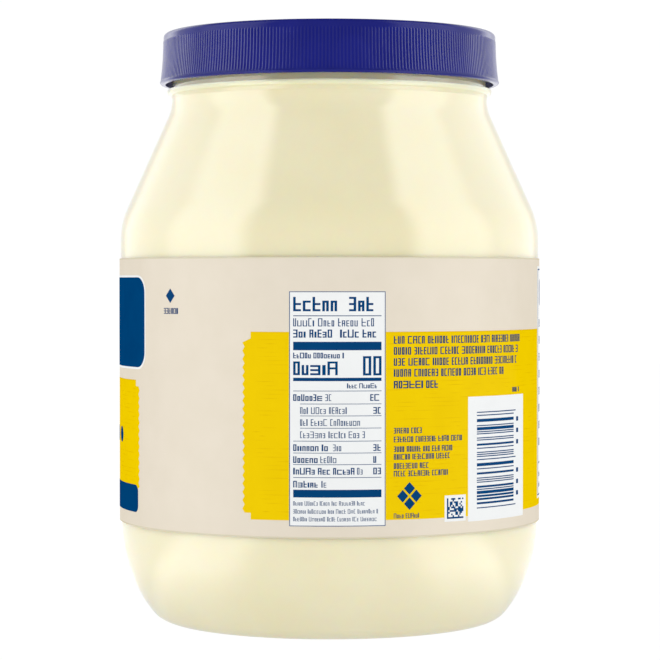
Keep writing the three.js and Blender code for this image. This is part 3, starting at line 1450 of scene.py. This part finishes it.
@dataclass
class Studio:
    """White sweep, soft panels all round and a camera where the photograph was taken from."""

    frame_pixels: float = 660.0
    focal_pixels: float = 2524.0
    sensor_width: float = 36.0
    distance: float = 783 * MM
    height: float = 104.8 * MM
    horizon_row: float = 280.0
    axis_column: float = 329.45
    floor_radius: float = 2.5
    floor_gap: float = 0.05 * MM
    backdrop_radiance: float = 1.02
    room_radiance: float = 0.26
    # The sines of the two heights between which mirrored light fades to its overhead share.
    mirror_fades: Point = (0.8, 0.95)
    mirror_overhead: float = 0.1
    panels: tuple[SoftPanel, ...] = (
        SoftPanel(47, 96, -30, 54, 2.95),
        SoftPanel(96, 150, -30, 40, 1.6),
        SoftPanel(150, 200, -30, 40, 0.7),
    )
    fill_front: float = 1.17
    fill_back: float = 0.58
    fill_side: float = 0.34
    # The same for scattered light.
    fill_fades: Point = (0.45, 0.95)
    fill_overhead: float = 0.4

    def camera(self) -> None:
        """Place the camera just below the height of the label's top edge, looking slightly down."""
        data = bpy.data.cameras.new("studio_camera")
        data.sensor_width = self.sensor_width
        data.lens = self.focal_pixels * self.sensor_width / self.frame_pixels
        data.clip_start = 0.01
        made = bpy.data.objects.new("studio_camera", data)
        bpy.context.scene.collection.objects.link(made)
        middle = self.frame_pixels / 2
        tilt = math.atan((middle - self.horizon_row) / self.focal_pixels)
        turn = math.atan((self.axis_column - middle) / self.focal_pixels)
        made.location = (0, -self.distance, self.height)
        made.rotation_euler = (math.pi / 2 - tilt, 0, turn)
        bpy.context.scene.camera = made

    def light(self) -> None:
        """Fill the room softly, let gloss mirror the panels, and show the camera a white backdrop."""
        world = bpy.data.worlds.new("soft_panels")
        world.use_nodes = True
        tree = world.node_tree
        tree.nodes.clear()
        where = add_node(tree, "ShaderNodeTexCoord").outputs["Generated"]
        across = azimuth(tree, where)
        axes = add_node(tree, "ShaderNodeSeparateXYZ", inputs={0: where})
        up = add_node(tree, "ShaderNodeMath", {"operation": "ARCSINE"}, {0: axes.outputs["Z"]})
        radiance: bpy.types.NodeSocket | float = self.room_radiance
        for panel in self.panels:
            radiance = panel.glow(tree, across, up.outputs[0], radiance)
        depth = add_node(
            tree,
            "ShaderNodeMapRange",
            inputs={
                "Value": axes.outputs["Y"],
                "From Min": -1.0,
                "From Max": 1.0,
                "To Min": self.fill_front,
                "To Max": self.fill_back,
            },
        )
        aside = add_node(tree, "ShaderNodeMath", {"operation": "ABSOLUTE"}, {0: axes.outputs["X"]})
        level = add_node(
            tree,
            "ShaderNodeMath",
            {"operation": "MULTIPLY_ADD"},
            {0: aside.outputs[0], 1: self.fill_side, 2: depth.outputs["Result"]},
        )
        overhead = add_node(
            tree,
            "ShaderNodeMapRange",
            {"interpolation_type": "SMOOTHSTEP"},
            {
                "Value": axes.outputs["Z"],
                "From Min": self.fill_fades[0],
                "From Max": self.fill_fades[1],
                "To Min": 1.0,
                "To Max": self.fill_overhead,
            },
        )
        fill = add_node(
            tree,
            "ShaderNodeMath",
            {"operation": "MULTIPLY"},
            {0: level.outputs[0], 1: overhead.outputs["Result"]},
        )
        dark_above = add_node(
            tree,
            "ShaderNodeMapRange",
            inputs={
                "Value": axes.outputs["Z"],
                "From Min": self.mirror_fades[0],
                "From Max": self.mirror_fades[1],
                "To Min": 1.0,
                "To Max": self.mirror_overhead,
            },
        )
        mirrored = add_node(
            tree,
            "ShaderNodeMath",
            {"operation": "MULTIPLY"},
            {0: radiance, 1: dark_above.outputs["Result"]},
        )
        ray = add_node(tree, "ShaderNodeLightPath")
        strength = add_node(
            tree,
            "ShaderNodeMix",
            {"data_type": "FLOAT"},
            {0: ray.outputs["Is Glossy Ray"], 2: fill.outputs[0], 3: mirrored.outputs[0]},
        )
        white = (1.0, 1.0, 1.0, 1.0)
        room = {"Color": white, "Strength": strength.outputs[0]}
        panels = add_node(tree, "ShaderNodeBackground", inputs=room)
        behind = {"Color": white, "Strength": self.backdrop_radiance}
        backdrop = add_node(tree, "ShaderNodeBackground", inputs=behind)
        mixed = add_node(
            tree,
            "ShaderNodeMixShader",
            inputs={0: ray.outputs["Is Camera Ray"], 1: panels.outputs[0], 2: backdrop.outputs[0]},
        )
        add_node(tree, "ShaderNodeOutputWorld", inputs={"Surface": mixed.outputs[0]})
        bpy.context.scene.world = world
        bpy.context.scene.view_settings.view_transform = "Standard"

    def floor(self) -> None:
        """Lay the white sweep under the jar."""
        work = bmesh.new()
        bmesh.ops.create_circle(work, cap_ends=True, segments=96, radius=self.floor_radius)
        mesh = bpy.data.meshes.new("studio_floor")
        work.to_mesh(mesh)
        work.free()
        mesh.transform(Matrix.Translation((0, 0, -self.floor_gap)))
        made = bpy.data.objects.new("studio_floor", mesh)
        bpy.context.scene.collection.objects.link(made)
        made.data.materials.append(Shade.SWEEP.value.material())


def main() -> None:
    """Build the object and the studio in order, and report each piece."""
    logging.basicConfig(level=logging.INFO, format="%(name)s: %(message)s")
    studio = Studio()
    studio.camera()
    studio.light()
    studio.floor()
    profile = JarProfile()
    jar_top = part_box("jar")[1].z
    fill_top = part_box("mayonnaise")[1].z
    cap_low, cap_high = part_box("cap")
    label_low, label_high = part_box("label")
    pieces = [BlownJar(profile, rim_height=jar_top).build()]
    pieces.append(Filling(profile, level=fill_top).build())
    pieces.append(ScrewCap(top=cap_high.z, bottom=cap_low.z).build())
    label = LabelSleeve(label_low.z, label_high.z, print_radius=label_high.x)
    pieces += label.build()
    for piece in pieces:
        log.info("%s: %d faces", piece.name, len(piece.data.polygons))


if __name__ == "__main__":
    main()
